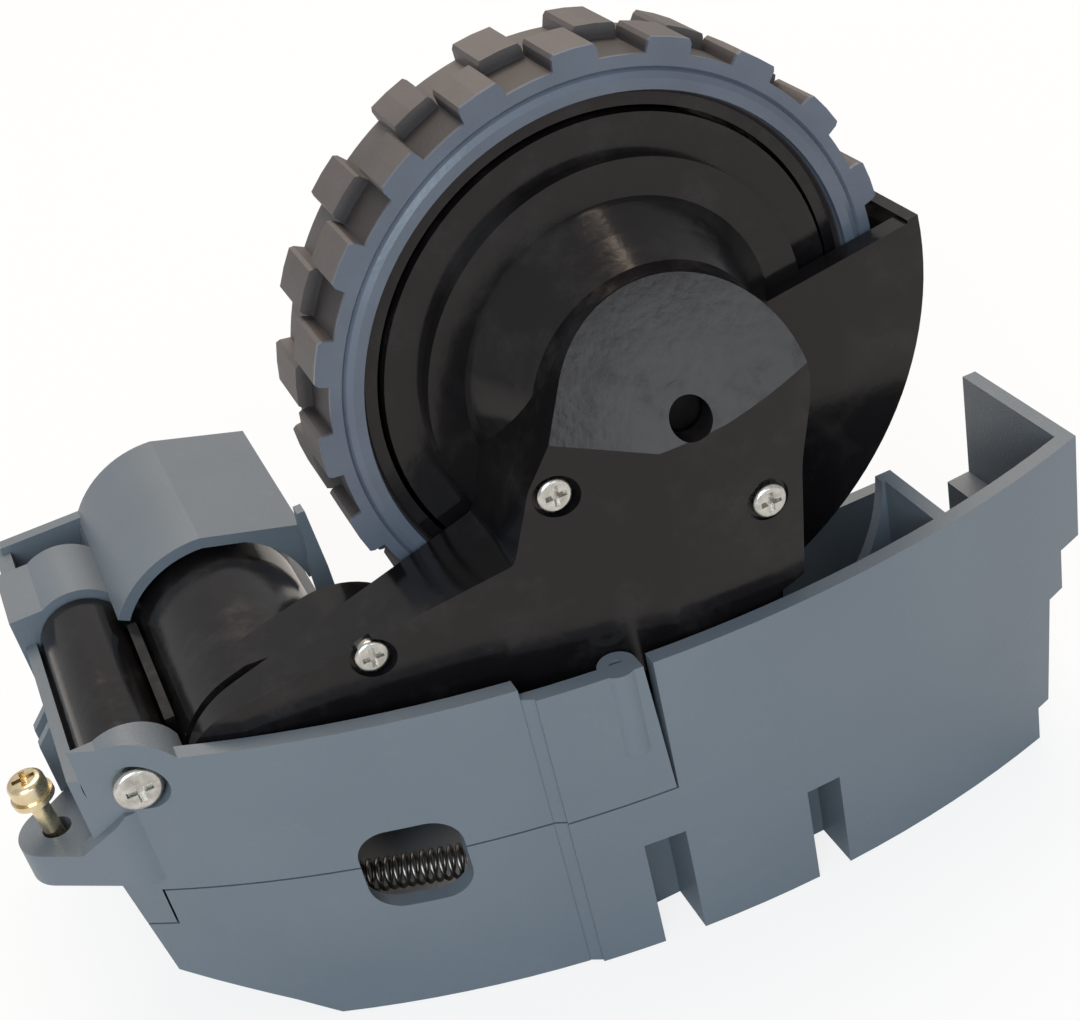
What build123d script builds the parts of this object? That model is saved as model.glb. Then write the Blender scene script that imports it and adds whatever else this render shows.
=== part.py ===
from build123d import *
import os
from math import acos, atan2, cos, degrees, hypot, pi, radians, sin, sqrt

# Driving sizes, in millimetres and degrees.
# While the pieces are made, the wheel axis runs along Y through x = 0, z = 0,
# and y = 0 is the plane of the tyre's near side.
wheel_radius = 36.0
tyre_width = 15.0
lug_height = 1.7
tread_floor_radius = wheel_radius - lug_height
lug_count = 20
lug_turn = 8.6
rim_radius = 30.0
rim_wall = 1.4

arm_reach = 73.5
arm_rise = 22.8
arm_lift = 20.0
barrel_radius = 5.5
barrel_near = 2.6
barrel_length = 30.0
pivot_radius = 2.0
shell_wall = 1.5
skin_wall = 1.3

robot_radius = 148.0
robot_centre_x = 6.0
front_reach = 22.0
robot_centre_y = robot_radius - front_reach
frame_wall = 2.0
rim_left = -24.5
rim_right = -26.0
base_level = -69.5
seam_level = -45.4
seam_gap = 0.25
step_back = 0.8
step_x = -26.0
joint_x = -11.0
tab_x = -70.0
tab_level = -51.2
tab_far = 6.0
frame_left = -75.0
bay_back = 55.0
bay_right = -36.0
low_wall_level = -48.0

motor_radius = 10.2
motor_flat_width = 15.4
motor_front = 5.9
motor_length = 23.0
tube_wall = 1.1
tube_radius = motor_radius + tube_wall
tube_back = 30.0

lobe_radius = 14.3
disc_radius = 28.0
raised_disc_radius = 23.6
guard_wall = 1.5
guard_gap = 1.3
guard_radius = wheel_radius + guard_gap + guard_wall
well_room = 12.2
frame_right = guard_radius + well_room
axle_radius = 2.5
bush_radius = 4.0

gear_scale = arm_reach / 73.5
first_module = 0.5 * gear_scale
second_module = 0.6 * gear_scale
last_module = 0.8 * gear_scale
motor_pinion_teeth = 10
first_wheel_teeth = 34
first_pinion_teeth = 12
second_wheel_teeth = 34
second_pinion_teeth = 14
third_wheel_teeth = 31
third_pinion_teeth = 13
idler_teeth = 15
output_teeth = 29
first_gear_direction = 18.0
second_gear_direction = 8.0
third_gear_direction = 18.0
backlash = 0.14

running_gap = 0.06
seat_gap = 0.02
gear_gap = 0.35
wall_gap = 0.5

coil_radius = 2.2
spring_wire = 0.5
screw_radius = 1.0
screw_head_radius = 2.1

# Places that follow from the driving sizes.
pivot_x = -arm_reach * cos(radians(arm_rise))
pivot_z = -arm_reach * sin(radians(arm_rise))
motor_x = pivot_x + barrel_radius + tube_radius
motor_z = pivot_z - 3.0 * gear_scale
barrel_far = barrel_near + barrel_length
face_level = -19.5
face_slant = 0.2586
facet_level = -17.6
facet_slope = 0.457
facet_turn = 4.0
back_plate_near = -2.4
back_plate_far = -0.8
guard_near = -3.5
guard_far = tyre_width + 1.5
well_back = guard_far + 1.5 + frame_wall
cover_depth = 7.5


def polar(x, z, reach, turn):
    """Point at a distance and direction, in degrees, from x, z."""
    return (x + reach * cos(radians(turn)), z + reach * sin(radians(turn)))


first_reach = first_module * (motor_pinion_teeth + first_wheel_teeth) / 2
second_reach = second_module * (first_pinion_teeth + second_wheel_teeth) / 2
first_x, first_z = polar(motor_x, motor_z, first_reach, first_gear_direction)
second_x, second_z = polar(first_x, first_z, second_reach, second_gear_direction)
third_reach = second_module * (second_pinion_teeth + third_wheel_teeth) / 2
third_x, third_z = polar(second_x, second_z, third_reach, third_gear_direction)


def crossing(x1, z1, reach1, x2, z2, reach2):
    """Point at two distances from two points, on the right-hand side of the way between them."""
    gap = hypot(x2 - x1, z2 - z1)
    heading = degrees(atan2(z2 - z1, x2 - x1))
    corner = degrees(acos((reach1 ** 2 + gap ** 2 - reach2 ** 2) / (2 * reach1 * gap)))
    return polar(x1, z1, reach1, heading - corner)


idler_reach = last_module * (third_pinion_teeth + idler_teeth) / 2
output_reach = last_module * (idler_teeth + output_teeth) / 2
idler_x, idler_z = crossing(third_x, third_z, idler_reach, 0, 0, output_reach)
idler_direction = degrees(atan2(idler_z - third_z, idler_x - third_x))
output_direction = degrees(atan2(-idler_z, -idler_x))


def tip_radius(teeth, module):
    return module * (teeth / 2 + 0.9)


def upright(outline, near, far):
    """Solid of an outline drawn in x and z, from y = near to y = far."""
    plane = Plane(origin=(0, far, 0), x_dir=(1, 0, 0), z_dir=(0, -1, 0))
    return extrude(plane * outline, amount=far - near)


def level(outline, low, high):
    """Solid of an outline drawn in x and y, from z = low to z = high."""
    return extrude(Plane.XY.offset(low) * outline, amount=high - low)


def sideways(outline, left, right):
    """Solid of an outline drawn in y and z, from x = left to x = right."""
    plane = Plane(origin=(left, 0, 0), x_dir=(0, 1, 0), z_dir=(1, 0, 0))
    return extrude(plane * outline, amount=right - left)


def outline_of(points):
    return make_face(Polyline(*points, close=True))


def block(left, right, near, far, low, high):
    size = Box(right - left, far - near, high - low, align=(Align.MIN, Align.MIN, Align.MIN))
    return Pos(left, near, low) * size


def bar(x, z, radius, near, far):
    """Round bar along Y."""
    return upright(Pos(x, z) * Circle(radius), near, far)


def ring(x, z, outer, inner, near, far):
    """Tube along Y."""
    return upright(Pos(x, z) * (Circle(outer) - Circle(inner)), near, far)


def post(x, y, radius, low, high):
    """Round bar along Z."""
    return level(Pos(x, y) * Circle(radius), low, high)


def belt(x1, z1, r1, x2, z2, r2):
    """Outline of a belt round two circles."""
    return rope([(x1, z1, r1), (x2, z2, r2)])


def rope(pins):
    """Closed outline of a rope drawn anticlockwise round pins.

    Each pin is x, z, radius; the rope passes a pin of negative radius on its other side."""
    turns = []
    for count, (x, z, r) in enumerate(pins):
        next_x, next_z, next_r = pins[(count + 1) % len(pins)]
        reach = hypot(next_x - x, next_z - z)
        heading = degrees(atan2(next_z - z, next_x - x))
        turns.append(heading - degrees(acos((r - next_r) / reach)))
    edges = []
    for count, (x, z, r) in enumerate(pins):
        arrive = turns[count - 1]
        leave = turns[count]
        sweep = (leave - arrive) % 360.0
        if r < 0:
            sweep = sweep - 360.0
        start = polar(x, z, r, arrive)
        end = polar(x, z, r, leave)
        if abs(r * sweep) > 0.01:
            edges.append(ThreePointArc(start, polar(x, z, r, arrive + sweep / 2), end))
        next_x, next_z, next_r = pins[(count + 1) % len(pins)]
        edges.append(Line(end, polar(next_x, next_z, next_r, leave)))
    return make_face(Wire(edges))


def drum(radius, low=-100.0, high=60.0):
    """Upright drum about the centre of the robot."""
    return level(Pos(robot_centre_x, robot_centre_y) * Circle(radius), low, high)


def about_pivot(thing, turn):
    """Swing a thing about the arm's pivot; a positive turn lowers the wheel."""
    centre = Pos(pivot_x, 0, pivot_z)
    return centre * Rot(0, turn, 0) * centre.inverse() * thing


def revolve_y(points):
    """Solid of an outline in radius and y, turned about the wheel axis."""
    plane = Plane(origin=(0, 0, 0), x_dir=(1, 0, 0), z_dir=(0, 0, 1))
    return revolve(plane * outline_of(points), axis=Axis.Y)


# Gears

def gear_outline(teeth, module, phase):
    """Toothed outline with one tooth pointing to the phase angle, in degrees."""
    pitch = module * teeth / 2
    root = pitch - 1.15 * module
    tip = pitch + 0.9 * module
    half_pitch = degrees((pi * module / 2 - backlash) / 2 / pitch)
    half_root = half_pitch * 1.45
    half_tip = half_pitch * 0.5
    points = []
    for count in range(teeth):
        centre = phase + count * 360.0 / teeth
        points.append(polar(0, 0, root, centre - half_root))
        points.append(polar(0, 0, pitch, centre - half_pitch))
        points.append(polar(0, 0, tip, centre - half_tip))
        points.append(polar(0, 0, tip, centre + half_tip))
        points.append(polar(0, 0, pitch, centre + half_pitch))
        points.append(polar(0, 0, root, centre + half_root))
    return outline_of(points)


def gear(x, z, teeth, module, phase, near, far):
    return upright(Pos(x, z) * gear_outline(teeth, module, phase), near, far)


# Y levels of the gear train, from the motor to the wheel.
motor_pinion_near, motor_pinion_far = 0.2, 4.2
first_wheel_near, first_wheel_far = 0.6, 3.6
first_pinion_near, first_pinion_far = -5.4, -2.8
second_wheel_near, second_wheel_far = -5.2, -3.0
second_pinion_near = -7.9
third_wheel_near, third_wheel_far = -7.7, -5.5
third_pinion_near = -10.3
idler_near, idler_far = -10.2, -8.05
output_near, output_far = -10.1, -8.1
pin_radius = 1.0


def meshed(direction, teeth):
    """Phase of a driven gear whose gap meets a driver's tooth in a direction."""
    return direction + 180.0 + 180.0 / teeth


def motor_pinion_piece():
    teeth = gear(motor_x, motor_z, motor_pinion_teeth, first_module, first_gear_direction,
                 motor_pinion_near, motor_pinion_far)
    return teeth - bar(motor_x, motor_z, shaft_radius + seat_gap, motor_pinion_near, motor_pinion_far)


def first_gear_piece():
    phase = meshed(first_gear_direction, first_wheel_teeth)
    wheel = gear(first_x, first_z, first_wheel_teeth, first_module, phase, first_wheel_near, first_wheel_far)
    pinion = gear(first_x, first_z, first_pinion_teeth, second_module, second_gear_direction,
                  first_pinion_near, first_pinion_far)
    neck_radius = second_module * (first_pinion_teeth / 2 - 1.3)
    neck = bar(first_x, first_z, neck_radius, first_pinion_far, first_wheel_near)
    bore = bar(first_x, first_z, pin_radius + running_gap, first_pinion_near, first_wheel_far)
    return wheel + pinion + neck - bore


def second_gear_piece():
    phase = meshed(second_gear_direction, second_wheel_teeth)
    wheel = gear(second_x, second_z, second_wheel_teeth, second_module, phase,
                 second_wheel_near, second_wheel_far)
    pinion = gear(second_x, second_z, second_pinion_teeth, second_module, third_gear_direction,
                  second_pinion_near, second_wheel_near)
    bore = bar(second_x, second_z, pin_radius + running_gap, second_pinion_near, second_wheel_far)
    return wheel + pinion - bore


def third_gear_piece():
    phase = meshed(third_gear_direction, third_wheel_teeth)
    wheel = gear(third_x, third_z, third_wheel_teeth, second_module, phase, third_wheel_near, third_wheel_far)
    pinion = gear(third_x, third_z, third_pinion_teeth, last_module, idler_direction,
                  third_pinion_near, third_wheel_near)
    bore = bar(third_x, third_z, pin_radius + running_gap, third_pinion_near, third_wheel_far)
    return wheel + pinion - bore


def idler_phase():
    """Phase that meets the third pinion's tooth on one side and gives the output gear its place."""
    return meshed(idler_direction, idler_teeth)


def idler_gear_piece():
    wheel = gear(idler_x, idler_z, idler_teeth, last_module, idler_phase(), idler_near, idler_far)
    return wheel - bar(idler_x, idler_z, pin_radius + running_gap, idler_near, idler_far)


def output_gear_piece():
    """Last gear; its teeth stand in the gaps of the idler and its long hub meets the back bearing."""
    pitch_turn = 360.0 / idler_teeth
    ahead = (output_direction - idler_phase()) % pitch_turn
    phase = meshed(output_direction, output_teeth) + ahead * idler_teeth / output_teeth
    teeth = gear(0, 0, output_teeth, last_module, phase, output_near, output_far)
    hub = bar(0, 0, 4.2, output_far, back_plate_near - 0.5)
    return teeth + hub - bar(0, 0, axle_radius + seat_gap, output_near, 0)


# Wheel

def tyre_piece():
    """Rubber tyre: a smooth side ring inside a toothed tread of two staggered rows."""
    dome = 0.4
    line = tread_floor_radius - 1.55
    section = [
        (rim_radius + seat_gap, 1.2), (rim_radius + 0.5, 0.2), (rim_radius + 0.6, -dome),
        (line - 0.95, -dome), (line - 0.25, -0.1), (line, 0.25), (line + 0.25, 0.0),
        (tread_floor_radius, 0.0),
        (tread_floor_radius, tyre_width), (rim_radius + 0.8, tyre_width),
        (rim_radius + seat_gap, tyre_width - 0.8),
    ]
    tyre = revolve_y(section)
    sunk = 0.6
    row = tyre_width / 2 + 0.3
    inner = tread_floor_radius - sunk
    wide = lug_turn / 2 + 0.25
    slim = lug_turn / 2 - 0.15
    blunt = 0.45
    lug_plan = outline_of([
        polar(0, 0, inner, 90 - wide), polar(0, 0, wheel_radius - blunt, 90 - slim),
        polar(0, 0, wheel_radius, 90 - slim + 0.5), polar(0, 0, wheel_radius + 0.03, 90),
        polar(0, 0, wheel_radius, 90 + slim - 0.5), polar(0, 0, wheel_radius - blunt, 90 + slim),
        polar(0, 0, inner, 90 + wide),
    ])
    near_lug = upright(lug_plan, 0.0, row)
    far_lug = upright(lug_plan, tyre_width - row, tyre_width)
    pitch = 360.0 / lug_count
    first_lug = 87.3 - 90.0
    lugs = []
    for count in range(lug_count):
        turn = first_lug + count * pitch
        lugs.append(Rot(0, -turn, 0) * near_lug)
        lugs.append(Rot(0, -turn - pitch / 2, 0) * far_lug)
    return tyre.fuse(*lugs)


def wheel_rim_piece():
    """Moulded rim: an outer drum, a web with six ribs and a bored hub."""
    drum_near = 1.2
    web_near = tyre_width - 4.2
    web_far = tyre_width - 2.2
    hub_radius = 6.5
    hub_near = 4.2
    drum_ring = ring(0, 0, rim_radius, rim_radius - rim_wall, drum_near, tyre_width - 0.4)
    web = bar(0, 0, rim_radius - rim_wall + 0.2, web_near, web_far)
    hub = bar(0, 0, hub_radius, hub_near, tyre_width - 1.0)
    rim = drum_ring + web + hub
    rib_count = 6
    for count in range(rib_count):
        rib = block(hub_radius - 1, rim_radius - rim_wall + 0.2, web_near - 3.0, web_near + 0.5, -0.8, 0.8)
        rim += Rot(0, count * 360.0 / rib_count, 0) * rib
    dish = ring(0, 0, rim_radius - 5.0, hub_radius + 3.0, web_far - 0.6, web_far + 0.1)
    axle_hole = bar(0, 0, axle_radius + seat_gap, hub_near - 0.1, axle_far)
    screw_hole = bar(0, 0, screw_radius + 0.3, axle_far - 0.1, tyre_width)
    return rim - dish - axle_hole - screw_hole


axle_near = -15.4
axle_far = tyre_width - 2.5
shaft_radius = 1.0


def drive_axle_piece():
    axle = bar(0, 0, axle_radius, axle_near, axle_far)
    thread = bar(0, 0, screw_radius + seat_gap, axle_far - 7.0, axle_far)
    return chamfer(axle.edges().filter_by(GeomType.CIRCLE), 0.3) - thread


def wheel_screw_piece():
    washer_far = tyre_width - 0.4
    head = bar(0, 0, 2.6, washer_far, washer_far + 1.6)
    head = fillet(head.faces().sort_by(Axis.Y)[-1].edges(), 0.7)
    cross = block(-0.35, 0.35, washer_far + 0.8, washer_far + 3, -1.6, 1.6)
    cross += block(-1.6, 1.6, washer_far + 0.8, washer_far + 3, -0.35, 0.35)
    return head + bar(0, 0, screw_radius, axle_far - 6.0, washer_far) - cross


def wheel_washer_piece():
    return ring(0, 0, 4.4, screw_radius + 0.3, tyre_width - 1.0, tyre_width - 0.4)


# Arm

def arm_outline(inset=0.0):
    """Side outline of the arm's front part, round the gears and the axle."""
    shoulder_x, shoulder_z = cover_screw_spots()[1]
    return rope([
        (0, 0, lobe_radius - inset),
        (shoulder_x, shoulder_z, 3.1 - inset),
        (shoulder_x - 7.0, shoulder_z - 6.1, -1.4 - inset),
        (motor_x, motor_z, tube_radius - inset),
        (heel_x, heel_z, 5.5 - inset),
        (31.5, -14.5, -20.0 - inset),
    ])


heel_x = 4.0
heel_z = -31.0


def cover_screw_spots():
    """Centres, in x and z, of the screws that hold the cover on."""
    left = (pivot_x + 28.9, pivot_z + 9.8)
    upper = (-15.8, -4.1)
    right = (7.0, -13.2)
    low = (1.8, -30.4)
    return [left, upper, right, low]


first_case_radius = tip_radius(first_wheel_teeth, first_module) + gear_gap + skin_wall


def front_space(inset):
    """Everything behind the arm's bent front face, moved back by an inset."""
    far = 60.0
    near = face_level + inset
    left = -95.0
    right = 60.0
    plan = outline_of([(right, near), (0, near), (left, near - face_slant * left), (left, far), (right, far)])
    space = level(plan, -70.0, 40.0)
    rise = 60.0
    sloped = facet_slope * rise
    facet_near = facet_level + inset
    facet_side = outline_of([(facet_near - sloped, -rise), (facet_near + sloped, rise),
                             (120, rise), (120, -rise)])
    space = space & (Rot(0, 0, -facet_turn) * sideways(facet_side, -120, 90))
    drum_radius = robot_radius - step_back - frame_wall - wall_gap - inset
    for turn in (0.0, arm_lift / 3, arm_lift * 2 / 3, arm_lift):
        space = space & about_pivot(drum(drum_radius), -turn)
    return space - front_relief(inset)


def front_relief(extra):
    """Cut-backs along the arm's lower edge for the spring and the housing's pockets."""
    under_spring = outline_of([(-46.0, -47.0), (-20.0, -33.6), (-15.0, -33.0), (-15.0, -60.0),
                               (-46.0, -60.0)])
    first_pocket = outline_of([(-15.4, -32.8), (-13.9, -31.4), (-5.2, -28.6), (-1.9, -37.5), (-1.9, -60.0),
                               (-15.4, -60.0)])
    second_pocket = outline_of([(6.7, -26.3), (13.0, -24.2), (13.0, -60.0), (5.6, -60.0), (6.2, -33.4)])
    cuts = upright(offset(under_spring, extra, kind=Kind.INTERSECTION), -40, -11.0 + extra)
    cuts += upright(offset(first_pocket, extra, kind=Kind.INTERSECTION), -40, -12.2 + extra)
    return cuts + upright(offset(second_pocket, extra, kind=Kind.INTERSECTION), -40, -13.6 + extra)


def arm_body():
    """Outer form of case and cover together, before the inside is cut away."""
    outline = arm_outline()
    front = upright(outline, -25.0, back_plate_far)
    flare_near = -13.5
    flare = revolve_y([(0, flare_near), (lobe_radius - 0.6, flare_near), (lobe_radius + 0.4, -9.0),
                       (lobe_radius + 2.7, -5.0), (lobe_radius + 4.6, -1.9),
                       (lobe_radius + 5.2, back_plate_far), (0, back_plate_far)])
    disc = bar(0, 0, raised_disc_radius, -1.2, 1.0) + bar(0, 0, disc_radius, 0.6, 2.6)
    body = (front + flare) & front_space(0.0)
    tube = bar(motor_x, motor_z, tube_radius, back_plate_near, tube_back)
    gear_room = upright(belt(motor_x, motor_z, tube_radius, first_x, first_z, first_case_radius),
                        back_plate_near, first_wheel_far + gear_gap + shell_wall)
    return body + disc + tube + gear_room + guard() + hinge_barrel() + spring_lever()


def guard():
    """Tyre guard: a flat cheek beside the tyre and a rim that wraps round its tread."""
    top_level = 4.7
    top_turn = degrees(atan2(top_level, guard_radius - 0.2))
    low_turn = -70.0
    sector = outline_of([(6.0, -1.0), polar(0, 0, 16.0, 4.0), polar(0, 0, 60.0, top_turn), (60, -60),
                         polar(0, 0, 60.0, low_turn - 8), (4.0, -20.0)])
    cheek = upright(sector & Circle(guard_radius), guard_near, back_plate_far)
    rim_sector = outline_of([(0, 0), polar(0, 0, 60.0, top_turn), (60, -60), polar(0, 0, 60.0, low_turn)])
    rim_ring = (Circle(guard_radius) - Circle(guard_radius - guard_wall)) & rim_sector
    return cheek + upright(rim_ring, guard_near, guard_far)


def hinge_barrel():
    """Hinge barrel and the web that joins it to the motor tube."""
    barrel = bar(pivot_x, pivot_z, barrel_radius, barrel_near, barrel_far)
    web_side = belt(pivot_x, pivot_z - 1.5, 2.2, motor_x - 8, motor_z, 2.6)
    web = upright(web_side, barrel_near + 0.4, tube_back - 1)
    ridge = upright(Pos(pivot_x + barrel_radius + 0.6, pivot_z + 1.2) * Rectangle(1.2, 5.0),
                    barrel_near + 1.0, 26.0 - 0.8)
    return barrel + web + ridge


lever_x = pivot_x + 11.8
lever_z = pivot_z - 27.1
lever_near = 2.8
lever_thick = 2.0
peg_radius = 0.9
peg_reach = 2.2
spring_near = 1.8
spring_end_x = -25.0
spring_end_y = -14.0
spring_end_z = -52.5


def spring_lever():
    """Flat lever below the barrel that the spring pulls on."""
    upper = belt(pivot_x, pivot_z, 3.4, lever_x, lever_z, 1.7)
    heel = upright(belt(pivot_x, pivot_z, 3.0, motor_x - 7.0, motor_z - 4, 3.0), lever_near, lever_near + 4.0)
    peg = bar(lever_x, lever_z, peg_radius, lever_near - peg_reach, lever_near)
    return upright(upper, lever_near, lever_near + lever_thick) + heel + peg


def arm_inside():
    """Space inside the gearbox: the gear room and the motor tube."""
    gear_room = upright(arm_outline(skin_wall), -25.0, back_plate_near) & front_space(shell_wall)
    inner_first = belt(motor_x, motor_z, tube_radius - skin_wall - 0.4, first_x, first_z,
                       first_case_radius - skin_wall)
    first_room = upright(inner_first, back_plate_near - 1, first_wheel_far + gear_gap)
    neck = bar(motor_x, motor_z, 3.2, first_wheel_far, motor_front)
    motor_room = bar(motor_x, motor_z, motor_radius + seat_gap, motor_front - 0.05, tube_back + 1)
    return gear_room + first_room + neck + motor_room


def pin_spots():
    return [(first_x, first_z), (second_x, second_z), (third_x, third_z), (idler_x, idler_z)]


def pin_fars():
    return [first_wheel_far + gear_gap, back_plate_near, back_plate_near, back_plate_near]


def seam_drum():
    """Drum whose face is the joint between cover and case."""
    return drum(robot_radius - frame_wall - wall_gap - cover_depth)


def cover_zone():
    """Space in front of the joint between cover and case."""
    return block(-90, 50, -40, 0.6, -90, 30) - seam_drum()


def cover_bosses():
    """Pin sockets and axle socket inside the cover."""
    bosses = bar(0, 0, bush_radius + 1.2, -25, output_near - gear_gap)
    bosses += bar(first_x, first_z, 2.0, -25, first_pinion_near - gear_gap)
    bosses += bar(second_x, second_z, 2.4, -25, second_pinion_near - gear_gap)
    bosses += bar(third_x, third_z, 2.6, -25, third_pinion_near - gear_gap)
    bosses += bar(idler_x, idler_z, 2.4, -25, idler_near - gear_gap)
    return bosses


def gearbox_case_piece():
    body = arm_body()
    case = body - cover_zone() - arm_inside()
    pads = bar(0, 0, bush_radius + 1.6, back_plate_near - 0.25, 3.4)
    for x, z in cover_screw_spots():
        pads += screw_post(x, z, 0.0)
    for x, z in ((third_x, third_z), (idler_x, idler_z)):
        pads += bar(x, z, 2.2, third_wheel_far + gear_gap, back_plate_far)
    case = case + pads
    case -= bar(0, 0, bush_radius + seat_gap, -8, 4)
    for (x, z), far in zip(pin_spots(), pin_fars()):
        case += bar(x, z, 2.2, far - 0.25, far + shell_wall + 0.2) & body
        case -= bar(x, z, pin_radius + seat_gap, -12, far + 1.0)
    for x, z in cover_screw_spots():
        case -= bar(x, z, screw_radius + seat_gap, -22, screw_end(x))
    case -= bar(pivot_x, pivot_z, pivot_radius + running_gap, -10, 60)
    return biggest(case)


def screw_end(x):
    """Y level where a cover screw ends."""
    return head_seat(x) + cover_screw_length


def screw_post(x, z, extra):
    """Post of the case that a cover screw bites into, wider by an extra."""
    return bar(x, z, 2.1 + extra, head_seat(x) + 1.3 - extra / 2, back_plate_far)


cover_screw_length = 5.6
counterbore_depth = 1.3
cover_head_radius = screw_head_radius + 0.5


def head_seat(x):
    """Y level of a screw head's underside, for a screw at a place along the arm."""
    return face_level - face_slant * min(x, 0.0) + counterbore_depth


def gearbox_cover_piece():
    shell = arm_body_front() & cover_zone()
    cover = shell - arm_inside()
    fill = upright(arm_outline(0.6), -25, 0) & front_space(0.0)
    cover += cover_bosses() & fill
    for x, z in cover_screw_spots():
        cover += bar(x, z, cover_head_radius + 1.0, -25, head_seat(x) + 1.2) & fill
        cover -= screw_post(x, z, 0.12)
        cover -= bar(x, z, cover_head_radius, -30, head_seat(x))
        cover -= bar(x, z, screw_radius + 0.2, -30, 0)
    cover -= bar(0, 0, axle_radius - 0.1, -30, 0)
    cover -= bar(0, 0, bush_radius + seat_gap, axle_near - 0.4, 0)
    for x, z in pin_spots():
        depth = head_seat(x) - counterbore_depth + 1.2
        cover -= bar(x, z, pin_radius + seat_gap, depth, 0)
    return biggest(cover)


def arm_body_front():
    outline = arm_outline()
    return upright(outline, -25.0, back_plate_far) & front_space(0.0)


def biggest(shape):
    """The largest solid of a shape, without slivers."""
    return max(shape.solids(), key=lambda solid: solid.volume)


def pan_screw(x, z, seat, far, head_radius, head_height):
    """Cross-head screw along Y with its head on the near side."""
    head = bar(x, z, head_radius, seat - head_height, seat)
    head = fillet(head.faces().sort_by(Axis.Y)[0].edges(), head_height * 0.45)
    wide = head_radius * 0.6
    slim = head_radius * 0.16
    top = seat - head_height
    cross = block(x - wide, x + wide, top - 1, top + head_height * 0.6, z - slim, z + slim)
    cross += block(x - slim, x + slim, top - 1, top + head_height * 0.6, z - wide, z + wide)
    return head + bar(x, z, screw_radius, seat, far) - cross


def cover_screw_pieces():
    screws = []
    for x, z in cover_screw_spots():
        seat = head_seat(x) - seat_gap
        screws.append(pan_screw(x, z, seat, screw_end(x) - 0.2, screw_head_radius, 1.2))
    return Compound(screws)


def gear_pin_pieces():
    pins = []
    for (x, z), far in zip(pin_spots(), pin_fars()):
        near = head_seat(x) - counterbore_depth + 1.2
        pins.append(bar(x, z, pin_radius, near + 0.1, far + 0.9))
    return Compound(pins)


def axle_bush_pieces():
    front = ring(0, 0, bush_radius, axle_radius + running_gap, axle_near - 0.4, output_near - gear_gap)
    back = ring(0, 0, bush_radius, axle_radius + running_gap, back_plate_near - 0.25, 3.4)
    return Compound([front, back])


# Motor

def motor_can_piece():
    can = bar(motor_x, motor_z, motor_radius, motor_front, motor_front + motor_length)
    flats = block(-60, 60, motor_front - 1, motor_front + motor_length + 1, -motor_flat_width / 2,
                  motor_flat_width / 2)
    can = can & (Pos(motor_x, 0, motor_z) * flats)
    nose = bar(motor_x, motor_z, 3.0, motor_front - 1.4, motor_front)
    return can + nose - bar(motor_x, motor_z, shaft_radius + running_gap, motor_front - 2, motor_front + 40)


def motor_end_cap_piece():
    start = motor_front + motor_length
    cap = bar(motor_x, motor_z, motor_radius - 0.4, start, start + 3.0)
    flats = block(-60, 60, start - 1, start + 9, -motor_flat_width / 2 + 0.3, motor_flat_width / 2 - 0.3)
    cap = cap & (Pos(motor_x, 0, motor_z) * flats)
    cap += bar(motor_x, motor_z, 3.0, start + 3.0, start + 4.0)
    for side in (-1, 1):
        cap -= terminal_slot(side, start)
    return cap - bar(motor_x, motor_z, shaft_radius + running_gap, start - 1, start + 5)


def terminal_slot(side, start):
    x = motor_x + side * 6.0
    return block(x - 0.3, x + 0.3, start + 0.8, start + 9, motor_z - 1.3, motor_z + 1.3)


def motor_terminal_pieces():
    start = motor_front + motor_length
    blades = []
    for side in (-1, 1):
        x = motor_x + side * 6.0
        blade = block(x - 0.25, x + 0.25, start + 0.9, start + 6.0, motor_z - 1.2, motor_z + 1.2)
        blades.append(blade - Pos(x, start + 4.8, motor_z) * Rot(0, 90, 0) * Cylinder(0.5, 3))
    return Compound(blades)


def motor_shaft_piece():
    return bar(motor_x, motor_z, shaft_radius, -1.5, motor_front + motor_length + 8.0)


def encoder_wheel_piece():
    start = motor_front + motor_length + 5.6
    wheel = ring(motor_x, motor_z, 4.6, shaft_radius + seat_gap, start, start + 0.8)
    hub = ring(motor_x, motor_z, 2.0, shaft_radius + seat_gap, start, start + 2.0)
    slots = 6
    for count in range(slots):
        x, z = polar(motor_x, motor_z, 4.0, count * 360.0 / slots)
        wheel -= bar(x, z, 0.8, start - 1, start + 2)
    return wheel + hub


def encoder_board_piece():
    start = motor_front + motor_length + 9.0
    board = block(motor_x - 7.5, motor_x + 7.5, start, start + 1.0, motor_z - 7.0, motor_z + 7.0)
    for side in (-1, 1):
        x = motor_x + side * 4.0
        foot = block(x - 0.8, x + 0.8, motor_front + motor_length + 3.0, start, motor_z + 4.6, motor_z + 6.2)
        board += foot
    return biggest(board)


def encoder_sensor_piece():
    start = motor_front + motor_length + 9.0
    return block(motor_x - 2.0, motor_x + 2.0, start - 1.8, start, motor_z - 6.4, motor_z - 2.6)


# Housing

def frame_outline(inset, top):
    """Side outline of the housing; an inset moves it inwards and opens the top."""
    rim = 0.0 if inset == 0 else top
    return outline_of([
        (frame_left + inset, rim_left + rim), (step_x, rim_left + rim), (step_x, rim_right + rim),
        (frame_right - inset, rim_right + rim), (frame_right - inset, -41.2),
        (frame_right - 3.5 - inset, -41.4), (frame_right - 3.5 - inset, -47.4),
        (frame_right - 6.0 - inset, -47.7), (frame_right - 7.0 - inset, -64.0 + inset * 0.5),
        (42.0 - inset, -64.2 + inset * 0.5), (42.0 - inset, base_level + inset),
        (-56.2 + inset * 0.3, base_level + inset), (-60.7, -66.4 + inset), (-69.0, -61.6 + inset),
        (-72.5 + inset, -59.5 + inset * 0.6), (frame_left + inset, -39.0),
    ])


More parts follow.
